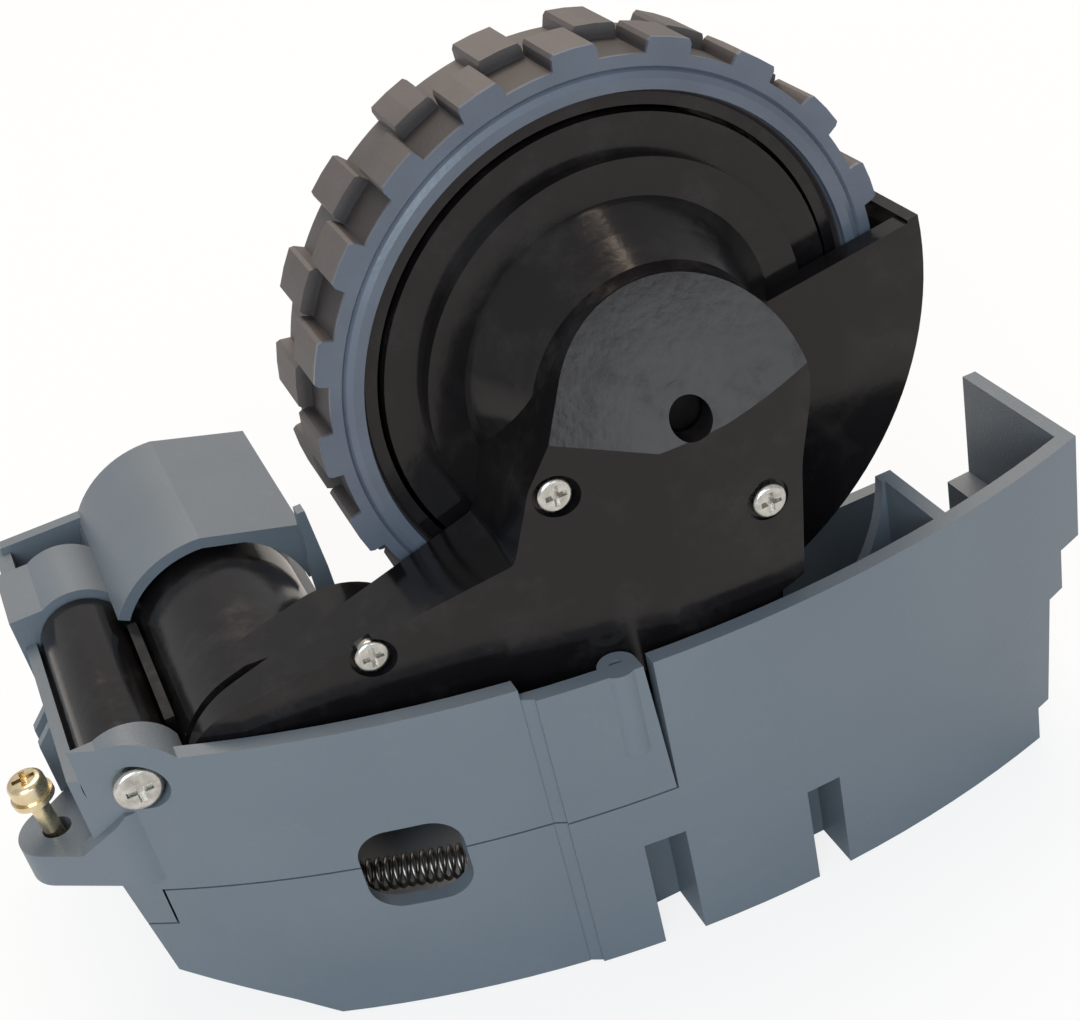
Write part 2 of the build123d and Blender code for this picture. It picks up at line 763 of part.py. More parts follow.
def frame_plan(inset):
    """Plan of the housing: the wheel well on the right and the deeper motor bay on the left."""
    return outline_of([
        (frame_left - 1, -40), (frame_right + 1, -40), (frame_right + 1, well_back - inset),
        (bay_right - inset, well_back - inset), (bay_right - inset, bay_back - inset),
        (frame_left - 1, bay_back - inset),
    ])


def frame_skin(inset):
    """Solid with the housing's outer form, or the form of its inside."""
    side = upright(frame_outline(inset, 30.0), -60, 70)
    plan = level(frame_plan(inset), -90, 40)
    left = drum(robot_radius - step_back - inset) & block(-100, step_x, -60, 80, -90, 40)
    ramp = 1.4 if inset == 0 else 0.0
    step_y = robot_centre_y - sqrt((robot_radius - step_back) ** 2 - (robot_centre_x - step_x) ** 2)
    raised = outline_of([(step_x, 80), (step_x, step_y + 0.1), (step_x + ramp, step_y - step_back),
                         (step_x + ramp, -60), (80, -60), (80, 80)])
    right = drum(robot_radius - inset) & level(raised, -90, 40)
    return side & plan & (left + right)


def frame_shell():
    """Both housing frames as one, before the seam is cut."""
    shell = frame_skin(0.0) - frame_skin(frame_wall)
    shell += block(bay_right - frame_wall, bay_right, well_back - 2.5, bay_back - 1, base_level + 0.5,
                   low_wall_level + 4.0)
    shell -= block(bay_right - frame_wall, 60, 5.5, 90, low_wall_level, 0)
    shell += partition()
    shell += pocket_liners()
    shell -= pocket_recesses()
    window = Pos(-42.2, -46.5) * RectangleRounded(12.0, 12.4, 3.9)
    return shell - upright(window, -40, 1.0)


def partition():
    """Rib beside the wheel and the web whose round edge clears the lowered lobe."""
    lowered_x, lowered_z = lowered_axle()
    rib = block(28.0, 29.8, -20.0, -6.4, base_level + 1.0, rim_right)
    web = block(11.0, 29.8, -8.0, -6.4, base_level + 1.0, rim_right)
    cut = bar(lowered_x, lowered_z, 22.0, -30, 10)
    cut += block(-20, lowered_x, -30, 10, lowered_z, 0)
    return ((rib + web) & drum(robot_radius - 1.0)) - cut


def lowered_axle():
    """Wheel axis with the arm swung fully in."""
    return polar(pivot_x, pivot_z, arm_reach, arm_rise - arm_lift)


def pocket_recesses():
    first = block(-16.6, -11.3, -30, -14.0, -90, -52.5)
    second = block(4.8, 9.4, -30, -15.4, -90, -54.6)
    return first + second


def pocket_liners():
    first = block(-17.8, -10.2, -24, -12.8, base_level, -51.4)
    second = block(3.6, 10.6, -24, -14.2, base_level, -53.5)
    return (first + second) & drum(robot_radius - 1.0)


def left_zone(gap):
    """The part of space that belongs to the upper left frame: its joint widens upwards."""
    low = seam_level + gap
    side = outline_of([(-110, low), (joint_x - gap, low), (joint_x - 5 * gap, rim_left),
                       (joint_x - 5 * gap, 60), (-110, 60)])
    tab = block(-110, tab_x - gap, -60, tab_far, tab_level + gap, seam_level + 1)
    return upright(side, -60, 90) + tab


def housing_main_piece():
    shell = frame_shell() - left_zone(0.0)
    shell += spring_post()
    for x, y in frame_screw_spots():
        shell += post(x, y, 3.2, base_level, seam_level) & frame_skin(0.0)
        shell -= post(x, y, screw_head_radius + 0.5, -100, frame_screw_seat)
        shell -= post(x, y, screw_radius + 0.2, -100, 0)
    for side in (-1, 1):
        x = switch_x + side * 3.0
        shell += block(x - 0.7, x + 0.7, switch_y - 3.0, switch_y + 3.0, base_level + 1.0, switch_z - 6.4)
    shell -= block(-52.0, -40.0, 50.0, 60.0, -66.0, -58.0)
    return biggest(shell)


def spring_post():
    """Peg on a bracket that holds the spring's fixed end."""
    bracket = block(spring_end_x - 2.0, spring_end_x + 2.0, -19.0, spring_end_y + 2.0,
                    spring_end_z - 3.4, spring_end_z - 1.4)
    peg = post(spring_end_x, spring_end_y, peg_radius, spring_end_z - 2.0, spring_end_z + 1.4)
    return (bracket & drum(robot_radius - 1.0)) + peg


knuckle_radius = 5.3
collar_radius = 6.6
side_bar_top = -27.0
far_knuckle_length = 12.5
ear_x = -78.9
ear_y = 10.4
ear_top = -38.2
ear_thick = 5.0
ear_radius = 4.8
ear_hole_radius = 1.8
captive_tilt = 4.0
captive_rise = 6.3
captive_head_radius = 2.3
captive_neck_radius = 1.15
captive_neck_length = captive_rise + ear_thick + 0.25
captive_thread_radius = 1.5
captive_thread_length = 3.0
captive_lean = (captive_neck_length + 0.75) * sin(radians(captive_tilt))
canopy_near = 26.0
canopy_overhang = 2.3
finger_gap = 2.0


def canopy():
    """Curved hood over the motor, open at the near end and along its right edge."""
    inner = tube_radius + 1.3
    outer = inner + 1.5
    arc = (Circle(outer) - Circle(inner)) & outline_of([(0, 0), (-30, 18.5), (-30, 40), (3, 40)])
    hood = Pos(motor_x, motor_z) * arc
    top_left = polar(motor_x, motor_z, outer, 86)
    low_left = polar(motor_x, motor_z, inner, 86)
    right = motor_x + tube_radius + canopy_overhang
    roof = outline_of([low_left, top_left, (right, motor_z + 10.3), (right, motor_z + 8.8)])
    sheet = upright(hood + roof, canopy_near, bay_back)
    corner = outline_of([(motor_x, motor_z), (right, motor_z + 2.5), (right, motor_z + 9.4), top_left])
    sheet += upright(corner - Pos(motor_x, motor_z) * Circle(inner), canopy_near, canopy_near + 1.5)
    inner_drop = outline_of([(motor_x - outer, motor_z - 14), (motor_x - inner, motor_z - 14),
                             (motor_x - inner, motor_z), polar(motor_x, motor_z, inner, 150),
                             polar(motor_x, motor_z, outer, 150), (motor_x - outer, motor_z)])
    return sheet + upright(inner_drop, barrel_far + 0.4, bay_back)


def housing_pivot_cover_piece():
    shell = frame_shell() & left_zone(seam_gap)
    near_knuckle = bar(pivot_x, pivot_z, knuckle_radius, -12.0, barrel_near - 0.4)
    near_stem = block(pivot_x - knuckle_radius, pivot_x + 2.4, -12.0, barrel_near - 0.4,
                      seam_level + seam_gap, pivot_z)
    collar = bar(pivot_x, pivot_z, collar_radius, -12.0, barrel_near - 0.4)
    near_knuckle += collar & block(-100, 0, -60, 60, pivot_z + 2.2, 0)
    shoulder = block(frame_left + 0.8, pivot_x, -12.0, barrel_near - 0.4,
                     seam_level + seam_gap, pivot_z + 6.0)
    near_part = (near_knuckle + near_stem + shoulder) & drum(robot_radius - step_back)
    far_start = barrel_far + 0.4
    far_end = far_start + far_knuckle_length
    far_knuckle = bar(pivot_x, pivot_z, collar_radius, far_start, far_end)
    far_stem = block(frame_left - 0.6, pivot_x + knuckle_radius, far_start, far_end,
                     seam_level + seam_gap, pivot_z)
    far_stem += block(frame_left - 0.6, pivot_x, far_start, far_end, pivot_z - 1.0, pivot_z + 5.6)
    shell -= block(-100, pivot_x - 4.6, 2.0, far_start - 0.01, side_bar_top, 0)
    shell += near_part + far_knuckle + far_stem + canopy() + screw_boss() + guide_finger()
    back_fill = block(frame_left + 1, motor_x + tube_radius + canopy_overhang, bay_back - frame_wall,
                      bay_back, -45, motor_z + 8)
    shell += back_fill & level(frame_plan(0.0), -90, 40)
    shell += mounting_ear()
    for x, y in frame_screw_spots():
        shell += post(x, y, 3.2, seam_level + seam_gap, frame_screw_tip + 1.5)
        shell -= post(x, y, screw_radius + seat_gap, -90, frame_screw_tip + 0.3)
    for low in (pivot_z + 1.2, pivot_z - 3.6, pivot_z - 8.4):
        shell -= block(frame_left - 5, pivot_x - 4.4, far_start + 1.4, far_start + 10.8, low, low + 3.6)
    shell -= bar(pivot_x, pivot_z, barrel_radius + wall_gap, barrel_near - 0.4, far_start)
    shell -= bar(pivot_x, pivot_z, pivot_radius + 0.15, -20, far_start + 2)
    shell -= bar(pivot_x, pivot_z, pivot_radius - 0.3, far_start, far_start + far_knuckle_length - 1.5)
    shell -= bar(pivot_x, pivot_z, 3.3, -20, pivot_head_seat)
    return biggest(shell & left_zone(seam_gap))


pivot_head_seat = -0.4


def guide_finger():
    """Thin upright finger beside the wheel, at the edge of the motor bay."""
    low_x = motor_x + tube_radius + finger_gap
    near = well_back - 1.0
    side = outline_of([(low_x - 1.2, seam_level + 0.3), (low_x + 1.4, seam_level + 0.3), (low_x + 1.0, -24.0),
                       (low_x + 0.4, -15.2), (low_x - 0.6, -15.2), (low_x - 1.2, -24.0)])
    finger = upright(side, near, near + 2.0)
    foot = block(low_x - 1.2, low_x + 1.4, near, bay_back - 1.0, seam_level + 0.3, seam_level + 2.2)
    return finger + foot


def screw_boss():
    """Small screw boss inside the front wall, beside the joint of the frames."""
    boss = post(boss_x, boss_y, 2.3, -38.0, rim_right)
    return boss - post(boss_x, boss_y, 0.9, -34.0, 0)


boss_x = -14.5
boss_y = -18.8


def mounting_ear():
    """Rounded ear with the hole of the captive mounting screw."""
    root_x, root_y = ear_x + 9.0, ear_y - 6.2
    plan = belt(ear_x, ear_y, ear_radius, root_x, root_y, ear_radius)
    tongue = level(plan, ear_top - ear_thick, ear_top)
    behind = outline_of([(ear_x, ear_y + ear_radius), (frame_left + 1.5, ear_y + ear_radius + 4.0),
                         (frame_left + 1.5, ear_y), (ear_x, ear_y)])
    tongue += level(behind, ear_top - ear_thick, ear_top)
    edge = plan - belt(ear_x, ear_y, ear_radius - 1.8, root_x, root_y, ear_radius - 1.8)
    cheek_side = outline_of([(ear_x + 1.6, ear_top - 0.3), (root_x - 0.6, ear_top + 6.0),
                             (root_x + 3.0, ear_top + 6.0), (root_x + 3.0, ear_top - 0.3)])
    cheek = upright(cheek_side, -12.0, ear_y - 3.0) & level(edge, ear_top - 1, ear_top + 8)
    gusset_side = outline_of([(frame_left + 1, ear_top - 0.3), (frame_left + 1, ear_top + 10.7),
                              (frame_left - 2.3, ear_top + 7.2), (frame_left - 2.3, ear_top - 0.3)])
    for y in (ear_y + 6.6, ear_y + 10.2):
        tongue += upright(gusset_side, y, y + 1.3)
    hole = post(ear_x, ear_y, ear_hole_radius, ear_top - ear_thick - 1, ear_top + 1)
    return tongue + cheek - frame_skin(frame_wall) - hole


def captive_screw_pieces():
    """Mounting screw, standing loose and a little tilted in the ear."""
    head = Cylinder(captive_head_radius, 2.4, align=(Align.CENTER, Align.CENTER, Align.MIN))
    head = fillet(head.faces().sort_by(Axis.Z)[-1].edges(), 0.8)
    flange = Cylinder(captive_head_radius + 0.3, 0.8, align=(Align.CENTER, Align.CENTER, Align.MIN))
    flange = Pos(0, 0, -0.8) * flange
    slim, wide = 0.35, 1.4
    cross = Pos(0, 0, 2.0) * (Box(2 * slim, 2 * wide, 2.0) + Box(2 * wide, 2 * slim, 2.0))
    low = (Align.CENTER, Align.CENTER, Align.MIN)
    neck = Pos(0, 0, -captive_neck_length) * Cylinder(captive_neck_radius, captive_neck_length, align=low)
    thread = Cylinder(captive_thread_radius, captive_thread_length, align=low)
    thread = Pos(0, 0, -captive_neck_length - captive_thread_length) * thread
    screw = head + flange + neck + thread - cross
    tilt = Rot(0, -captive_tilt, 0)
    return Pos(ear_x - captive_lean, ear_y, ear_top + captive_rise) * tilt * screw


def pivot_screw_piece():
    far = barrel_far + far_knuckle_length - 1.8
    head = bar(pivot_x, pivot_z, 2.9, pivot_head_seat - 1.6, pivot_head_seat - seat_gap)
    head = fillet(head.faces().sort_by(Axis.Y)[0].edges(), 0.6)
    top = pivot_head_seat - 1.6
    cross = block(pivot_x - 1.6, pivot_x + 1.6, top - 1, top + 0.9, pivot_z - 0.4, pivot_z + 0.4)
    cross += block(pivot_x - 0.4, pivot_x + 0.4, top - 1, top + 0.9, pivot_z - 1.6, pivot_z + 1.6)
    stem = bar(pivot_x, pivot_z, pivot_radius, pivot_head_seat - seat_gap, barrel_far + 2.0)
    thread = bar(pivot_x, pivot_z, pivot_radius - 0.4, barrel_far + 1.0, far)
    return head + stem + thread - cross


frame_screw_seat = -58.0
frame_screw_tip = -41.0


def frame_screw_spots():
    return [(-69.8, 49.4), (-40.8, 49.4)]


def housing_screw_pieces():
    """Screws that hold the upper left frame down on the lower one."""
    screws = []
    for x, y in frame_screw_spots():
        shank = post(x, y, screw_radius, frame_screw_seat, frame_screw_tip)
        head = post(x, y, screw_head_radius, frame_screw_seat - 1.2, frame_screw_seat)
        screws.append(head + shank)
    return Compound(screws)


# Switch and contacts

switch_x = -53.5
switch_y = 44.0
switch_z = -55.6


def drop_switch_piece():
    body = block(switch_x - 6.5, switch_x + 6.5, switch_y - 3.0, switch_y + 3.0, switch_z - 6.4, switch_z)
    body -= switch_pin_pieces()
    return body - switch_holes() - bar(switch_x - 5.5, switch_z - 0.2, 0.56, switch_y - 2.4, switch_y + 2.4)


def switch_holes():
    holes = bar(switch_x - 3.2, switch_z - 4.4, 1.0, 30, 60)
    return holes + bar(switch_x + 3.2, switch_z - 4.4, 1.0, 30, 60)


def switch_lever_piece():
    pin = bar(switch_x - 5.5, switch_z - 0.2, 0.5, switch_y - 2.3, switch_y + 2.3)
    arm = outline_of([(switch_x - 5.5, switch_z - 0.4), (switch_x - 5.2, switch_z + 0.1),
                      (switch_x + 6.0, switch_z + 2.9), (switch_x + 5.9, switch_z + 3.2),
                      (switch_x - 5.6, switch_z + 0.4)])
    return pin + upright(arm, switch_y - 1.6, switch_y + 1.6)


def switch_pin_pieces():
    legs = []
    for reach in (-5.0, 0.0, 5.0):
        x = switch_x + reach
        legs.append(block(x - 0.3, x + 0.3, switch_y - 0.7, switch_y + 0.7, switch_z - 9.4, switch_z - 5.4))
    return Compound(legs)


def connector_block_piece():
    body = block(-52.0, -40.0, 52.0, 59.0, -66.0, -58.0)
    body -= block(-50.8, -41.2, 54.0, 60.0, -64.8, -59.2)
    return body - connector_pin_pieces()


def connector_pin_pieces():
    pins = []
    for count in range(4):
        x = -49.6 + count * 2.4
        pins.append(block(x - 0.3, x + 0.3, 50.0, 58.0, -62.3, -61.7))
    return Compound(pins)


def extension_spring_piece():
    """Closed tube round the coils with its two thin end hooks."""
    start = Vector(lever_x, spring_near, lever_z)
    end = Vector(spring_end_x, spring_end_y, spring_end_z)
    along = (end - start).normalized()
    length = (end - start).length
    body_start = start + along * 5.0
    body_length = length - 5.0 - 4.0
    body = extrude(Plane(body_start, z_dir=along) * Circle(coil_radius), amount=body_length)
    core = extrude(Plane(body_start, z_dir=along) * Circle(coil_radius - spring_wire), amount=body_length)
    hook_start = peg_radius + 0.4
    first_hook = extrude(Plane(start + along * hook_start, z_dir=along) * Circle(spring_wire),
                         amount=5.4 - hook_start)
    last_hook = extrude(Plane(body_start + along * (body_length - 0.4), z_dir=along) * Circle(spring_wire),
                        amount=2.6)
    return (body - core) + first_hook + last_hook


def build():
    return {
        "housing_main": housing_main_piece(),
        "housing_pivot_cover": housing_pivot_cover_piece(),
        "housing_screws": housing_screw_pieces(),
        "pivot_screw": pivot_screw_piece(),
        "captive_mount_screws": captive_screw_pieces(),
        "extension_spring": extension_spring_piece(),
        "gearbox_case": gearbox_case_piece(),
        "gearbox_cover": gearbox_cover_piece(),
        "cover_screws": cover_screw_pieces(),
        "gear_pins": gear_pin_pieces(),
        "axle_bushes": axle_bush_pieces(),
        "motor_can": motor_can_piece(),
        "motor_end_cap": motor_end_cap_piece(),
        "motor_terminals": motor_terminal_pieces(),
        "motor_shaft": motor_shaft_piece(),
        "motor_pinion": motor_pinion_piece(),
        "encoder_wheel": encoder_wheel_piece(),
        "encoder_board": encoder_board_piece(),
        "encoder_sensor": encoder_sensor_piece(),
        "first_gear": first_gear_piece(),
        "second_gear": second_gear_piece(),
        "third_gear": third_gear_piece(),
        "idler_gear": idler_gear_piece(),
        "output_gear": output_gear_piece(),
        "drive_axle": drive_axle_piece(),
        "wheel_rim": wheel_rim_piece(),
        "tyre": tyre_piece(),
        "wheel_screw": wheel_screw_piece(),
        "wheel_washer": wheel_washer_piece(),
        "drop_switch": drop_switch_piece(),
        "switch_lever": switch_lever_piece(),
        "switch_pins": switch_pin_pieces(),
        "connector_block": connector_block_piece(),
        "connector_pins": connector_pin_pieces(),
    }


pieces = build()
box = Compound(list(pieces.values())).bounding_box()
origin_x = (box.min.X + box.max.X) / 2
origin_y = (box.min.Y + box.max.Y) / 2
origin_z = box.min.Z
os.makedirs("parts", exist_ok=True)
for name, piece in pieces.items():
    export_step(Pos(-origin_x, -origin_y, -origin_z) * piece, f"parts/{name}.step")
print("origin", origin_x, origin_y, origin_z)
print("size", box.size)
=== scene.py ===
# %% [markdown]
# # A robot vacuum's wheel module
# The part is a rubber-tyred wheel on a swing arm, held in a curved plastic housing.
# Its solid pieces come ready made and stand in one frame, in metres, with Z up.
# This lesson lights them, gives every piece its finish, and winds the one spring, which the
# solids show only as a plain tube.

# %% Load the solid pieces
import math

import bpy
from mathutils import Matrix, Vector


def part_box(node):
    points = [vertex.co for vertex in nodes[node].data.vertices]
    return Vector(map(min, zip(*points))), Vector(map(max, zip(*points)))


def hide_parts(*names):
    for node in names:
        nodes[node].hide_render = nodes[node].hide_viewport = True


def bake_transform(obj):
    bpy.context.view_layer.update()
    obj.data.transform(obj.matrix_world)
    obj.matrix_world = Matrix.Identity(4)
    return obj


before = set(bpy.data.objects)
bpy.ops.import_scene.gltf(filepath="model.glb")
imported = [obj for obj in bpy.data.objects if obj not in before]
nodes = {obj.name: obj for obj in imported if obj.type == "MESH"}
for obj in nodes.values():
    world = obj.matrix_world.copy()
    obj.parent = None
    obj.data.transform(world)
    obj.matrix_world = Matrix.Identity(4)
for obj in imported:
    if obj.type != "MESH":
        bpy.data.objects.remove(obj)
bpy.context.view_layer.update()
scene = bpy.context.scene

# %% [markdown]
# ## The camera
# The module was photographed from above its curved wall, with the camera a little turned
# about its line of sight.
# A camera could be aimed by hand, but its place and the directions to its right, forward and
# up, written in one matrix, repeat the view exactly.
# The lens is a short telephoto, so near edges look only a little larger than far ones.

# %% Aim the camera
camera_data = bpy.data.cameras.new("photo_camera")
camera_data.sensor_width = 36.0
camera_data.lens = 56.54
camera_data.clip_start = 0.01
camera_data.clip_end = 20.0
camera = bpy.data.objects.new("photo_camera", camera_data)
scene.collection.objects.link(camera)
eye = Vector((-0.043555, -0.177732, 0.164585))
right = Vector((0.8962, -0.3979, -0.1963)).normalized()
forward = Vector((0.2331, 0.7986, -0.5549)).normalized()
up = right.cross(forward)
camera.matrix_world = Matrix((
    (right.x, up.x, -forward.x, eye.x),
    (right.y, up.y, -forward.y, eye.y),
    (right.z, up.z, -forward.z, eye.z),
    (0, 0, 0, 1),
))
scene.camera = camera
print("camera at", [round(v, 3) for v in camera.matrix_world.translation])

# %% [markdown]
# ## A helper for selecting
# Blender's operators act on what is selected, so a step begins by saying what that is.
# In the window a click does it, and here one short function does.

# %% Select one object or none
def select_only(item=None):
    """Select one object and make it the active one, or select nothing."""
    bpy.ops.object.select_all(action="DESELECT")
    if item:
        item.select_set(True)
        bpy.context.view_layer.objects.active = item


# %% [markdown]
# ## The floor
# The module stands on a plain floor, as it would on a photographer's table.
# A thin box would do as well, but light meets only the top of it, so one large plane is enough.
# It lies a hair below the module, because two faces in one plane would flicker.

# %% Lay the floor
floor_drop = 0.0002
select_only()
bpy.ops.mesh.primitive_plane_add(size=12.0, location=(0, 0, -floor_drop))
floor = bpy.context.object
floor.name = "floor"
print("floor is", round(floor.dimensions.x, 1), "m wide")

# %% [markdown]
# ## The lamps
# Two wide soft lamps light the module, and small hard ones would leave black shadows.
# The one overhead is warm, as a room's lamp is, and the one in front is blue, as by a window.
# A third, small lamp stands low in front, where the sloped face of the arm mirrors it.
# The Standard view shows colours as they are, so white stays white.

# %% Hang the lamps
middle = Vector((0, 0, 0.05))


def lamp(name, place, size, watts, colour):
    """Hang a square soft lamp that looks at the middle of the module."""
    data = bpy.data.lights.new(name, "AREA")
    data.shape = "SQUARE"
    data.size = size
    data.energy = watts
    data.color = colour
    item = bpy.data.objects.new(name, data)
    scene.collection.objects.link(item)
    item.location = place
    item.rotation_euler = (middle - Vector(place)).to_track_quat("-Z", "Y").to_euler()


lamp("overhead", place=(0.25, 0.55, 1.25), size=0.9, watts=17.5, colour=(1.0, 0.85, 0.7))
lamp("window", place=(-0.55, -1.1, 0.75), size=0.9, watts=17.5, colour=(0.76, 0.89, 1.0))
lamp("glint", place=(0.32, -1.2, 0.36), size=0.3, watts=1.1, colour=(0.8, 0.9, 1.0))
scene.view_settings.view_transform = "Standard"
print("lamps:", [light.name for light in bpy.data.lights])

# %% [markdown]
# ## Writing shaders as sums
# A finish is a small calculation on the place of each point, such as noise times a depth.
# Nodes can be wired one by one, but sums read better when they are written as Python.
# The class below wraps a socket, so that + - * ** and brackets make the Math nodes.

# %% A socket that can be calculated with
class Wire:
    """The output socket of a node, in a material's or the world's node tree."""

    def __init__(self, tree, socket):
        self.tree = tree
        self.socket = socket

    def maths(self, operation, first, second):
        settings = {"operation": operation}
        return add_node(self.tree, "ShaderNodeMath", settings, {0: first, 1: second})

    def __add__(self, other):
        return self.maths("ADD", self, other)

    def __sub__(self, other):
        return self.maths("SUBTRACT", self, other)

    def __rsub__(self, other):
        return self.maths("SUBTRACT", other, self)

    def __mul__(self, other):
        return self.maths("MULTIPLY", self, other)

    def __pow__(self, other):
        return self.maths("POWER", self, other)


# %% [markdown]
# ## Adding a node
# Every node is added in the same way: its settings come first, because they can change which
# sockets it has, and then the values or wires of those sockets.
# A call for each of these steps would make every finish long, so one function takes them all.

# %% Add any node
def add_node(tree, kind, settings=None, inputs=None, output=0):
    """Add a node, and give back the output that is asked for."""
    node = tree.nodes.new(kind)
    for key, value in (settings or {}).items():
        setattr(node, key, value)
    for key, value in (inputs or {}).items():
        if isinstance(value, Wire):
            tree.links.new(value.socket, node.inputs[key])
        else:
            node.inputs[key].default_value = value
    return Wire(tree, node.outputs[output])


def opaque(colour):
    """Give a plain colour its fourth number, and leave a wire as it is."""
    return colour if isinstance(colour, Wire) else (*colour, 1.0)


# %% [markdown]
# ## What every finish shares
# Plastic, rubber and metal are one Principled shader with other values, so a class holds it.
# Its patterns are measured in the piece's own space, which needs no unwrapping and no picture,
# and which moves with the piece when a joint turns.

# %% A finish and its patterns
class Finish:
    """A material with a Principled shader, and the patterns that feed it."""

    def __init__(self, name, colour, roughness, metallic=0.0, coat=0.0, specular=0.5):
        self.material = bpy.data.materials.new(name)
        self.material.use_nodes = True
        self.tree = self.material.node_tree
        self.shader = self.tree.nodes["Principled BSDF"]
        self.set("Base Color", opaque(colour))
        self.set("Roughness", roughness)
        self.set("Metallic", metallic)
        self.set("Coat Weight", coat)
        self.set("Specular IOR Level", specular)
        self.place = add_node(self.tree, "ShaderNodeTexCoord", output="Object")

    def node(self, kind, settings=None, inputs=None, output=0):
        return add_node(self.tree, kind, settings, inputs, output)

    def set(self, socket, value):
        """Feed a socket of the shader with a wire or a plain value."""
        if isinstance(value, Wire):
            self.tree.links.new(value.socket, self.shader.inputs[socket])
        else:
            self.shader.inputs[socket].default_value = value

    def axes(self):
        """The X, Y and Z of each point, as three wires."""
        split = self.tree.nodes.new("ShaderNodeSeparateXYZ")
        self.tree.links.new(self.place.socket, split.inputs["Vector"])
        return [Wire(self.tree, split.outputs[axis]) for axis in "XYZ"]

    def noise(self, scale, detail, rough=0.5):
        """Cloudy noise, as a value between 0 and 1."""
        inputs = {"Vector": self.place, "Scale": scale, "Detail": detail, "Roughness": rough}
        return self.node("ShaderNodeTexNoise", None, inputs, "Fac")

    def rise(self, value, start, end):
        """0 below a start, 1 above an end, and a straight slope between them."""
        inputs = {"Value": value, "From Min": start, "From Max": end}
        return self.node("ShaderNodeMapRange", None, inputs)

    def mix(self, factor, first, second):
        """A colour between two colours, whose sockets have the numbers 6 and 7."""
        inputs = {"Factor": factor, 6: opaque(first), 7: opaque(second)}
        return self.node("ShaderNodeMix", {"data_type": "RGBA"}, inputs, 2)

    def bump(self, height, depth, strength):
        """Raise the surface by a height times a depth in metres."""
        inputs = {"Height": height, "Distance": depth, "Strength": strength}
        self.set("Normal", self.node("ShaderNodeBump", None, inputs, "Normal"))


# %% [markdown]
# ## Painting
# A finish could be put on each piece by hand, in its material slot.
# Many pieces share one, as they share a moulding material or a plating on the real object, so
# a function puts it on a whole list of them and prints which they were.

# %% Put a finish on pieces
def paint(finish, *names):
    """Give a finish to the named solid pieces."""
    for name in names:
        mesh = nodes[name].data
        mesh.materials.clear()
        mesh.materials.append(finish.material)
    print(finish.material.name, "on", ", ".join(names))


# %% [markdown]
# ## Floor finish
# The floor is plain pale grey, so the module's shadow shows softly on it.
# Brighter lamps could burn it to white, but they would also wash out the plastic.
# Instead, what the camera itself sees of it is mixed with white light, by the Is Camera Ray
# answer of the Light Path node, and the light that it throws on the module stays grey.

# %% Finish the floor
floor_whiteness = 0.82
floor_finish = Finish("studio_floor", (0.66, 0.66, 0.66), roughness=0.9)
floor.data.materials.append(floor_finish.material)
floor_tree = floor_finish.tree
rays = floor_tree.nodes.new("ShaderNodeLightPath")
straight = Wire(floor_tree, rays.outputs["Is Camera Ray"])
lit = Wire(floor_tree, floor_finish.shader.outputs["BSDF"])
white = floor_finish.node("ShaderNodeEmission", None, {"Color": (1, 1, 1, 1), "Strength": 1.0})
share = straight * floor_whiteness
blended = floor_finish.node("ShaderNodeMixShader", None, {0: share, 1: lit, 2: white})
floor_tree.links.new(blended.socket, floor_tree.nodes["Material Output"].inputs["Surface"])
print("floor nodes:", len(floor_tree.nodes))

# %% [markdown]
# ## Sky
# An even pale sky stands for the room's walls, and fills the shadows.
# It is white where the camera looks at it, and would be behind glass.
# Glossy plastic mirrors only a part of it, so black pieces keep their depth, and all other
# light from it is half as strong.

# %% Finish the sky
mirrored_share = 0.25
light_level = 0.5
white_level = 1.0
world = bpy.data.worlds.new("studio_sky")
scene.world = world
world.use_nodes = True
sky = world.node_tree
sky_rays = sky.nodes.new("ShaderNodeLightPath")
seen = Wire(sky, sky_rays.outputs["Is Camera Ray"])
gloss = Wire(sky, sky_rays.outputs["Is Glossy Ray"])
through = Wire(sky, sky_rays.outputs["Is Transmission Ray"])
bright = seen + gloss * mirrored_share + through
white_rays = add_node(sky, "ShaderNodeClamp", None, {"Value": bright})
levels = {"Value": white_rays, "To Min": light_level, "To Max": white_level}
sky_level = add_node(sky, "ShaderNodeMapRange", None, levels)
background = sky.nodes["Background"]
background.inputs["Color"].default_value = (0.97, 0.985, 1.0, 1)
sky.links.new(sky_level.socket, background.inputs["Strength"])
print("sky nodes:", len(sky.nodes))

# %% [markdown]
# ## Housing plastic
# The housing is moulded in blue-grey plastic with a fine satin grain.
# A picture of plastic could be wrapped round it, but noise in the piece's own space has no
# seams.
# Slow noise shifts the shade a little, and fast noise is the grain under the light.
# Rough noise cut off high leaves a few paler scuffs, as on a part that has been handled.

# %% Finish the housing
housing_finish = Finish("housing_plastic", (0.1, 0.122, 0.14), roughness=0.42)
slow = housing_finish.noise(scale=38.0, detail=4.0)
fine = housing_finish.noise(scale=2600.0, detail=2.0)
rubbing = housing_finish.noise(scale=240.0, detail=8.0, rough=0.7)
scuff = housing_finish.rise(rubbing, start=0.6, end=0.74)
moulded = housing_finish.mix(slow, (0.088, 0.106, 0.124), (0.12, 0.139, 0.157))
scuffed = housing_finish.mix(scuff * 0.3, moulded, (0.15, 0.16, 0.165))
housing_finish.set("Base Color", scuffed)
housing_finish.set("Roughness", slow * 0.16 + scuff * 0.12 + 0.32)
housing_finish.bump(fine * 0.5 + slow, depth=0.00016, strength=0.45)
paint(housing_finish, "housing_main", "housing_pivot_cover")

# %% [markdown]
# ## Black arm plastic
# The arm, its cover and the rim are moulded in glossy black plastic, and so are a few small
# pieces inside.
# A plain black would mirror the lamps as a sheet of glass does. Long soft waves in the surface
# break the reflections up, as shrinking plastic does.
# Where it was handled the gloss is duller and greyer, and that smear is noise too.

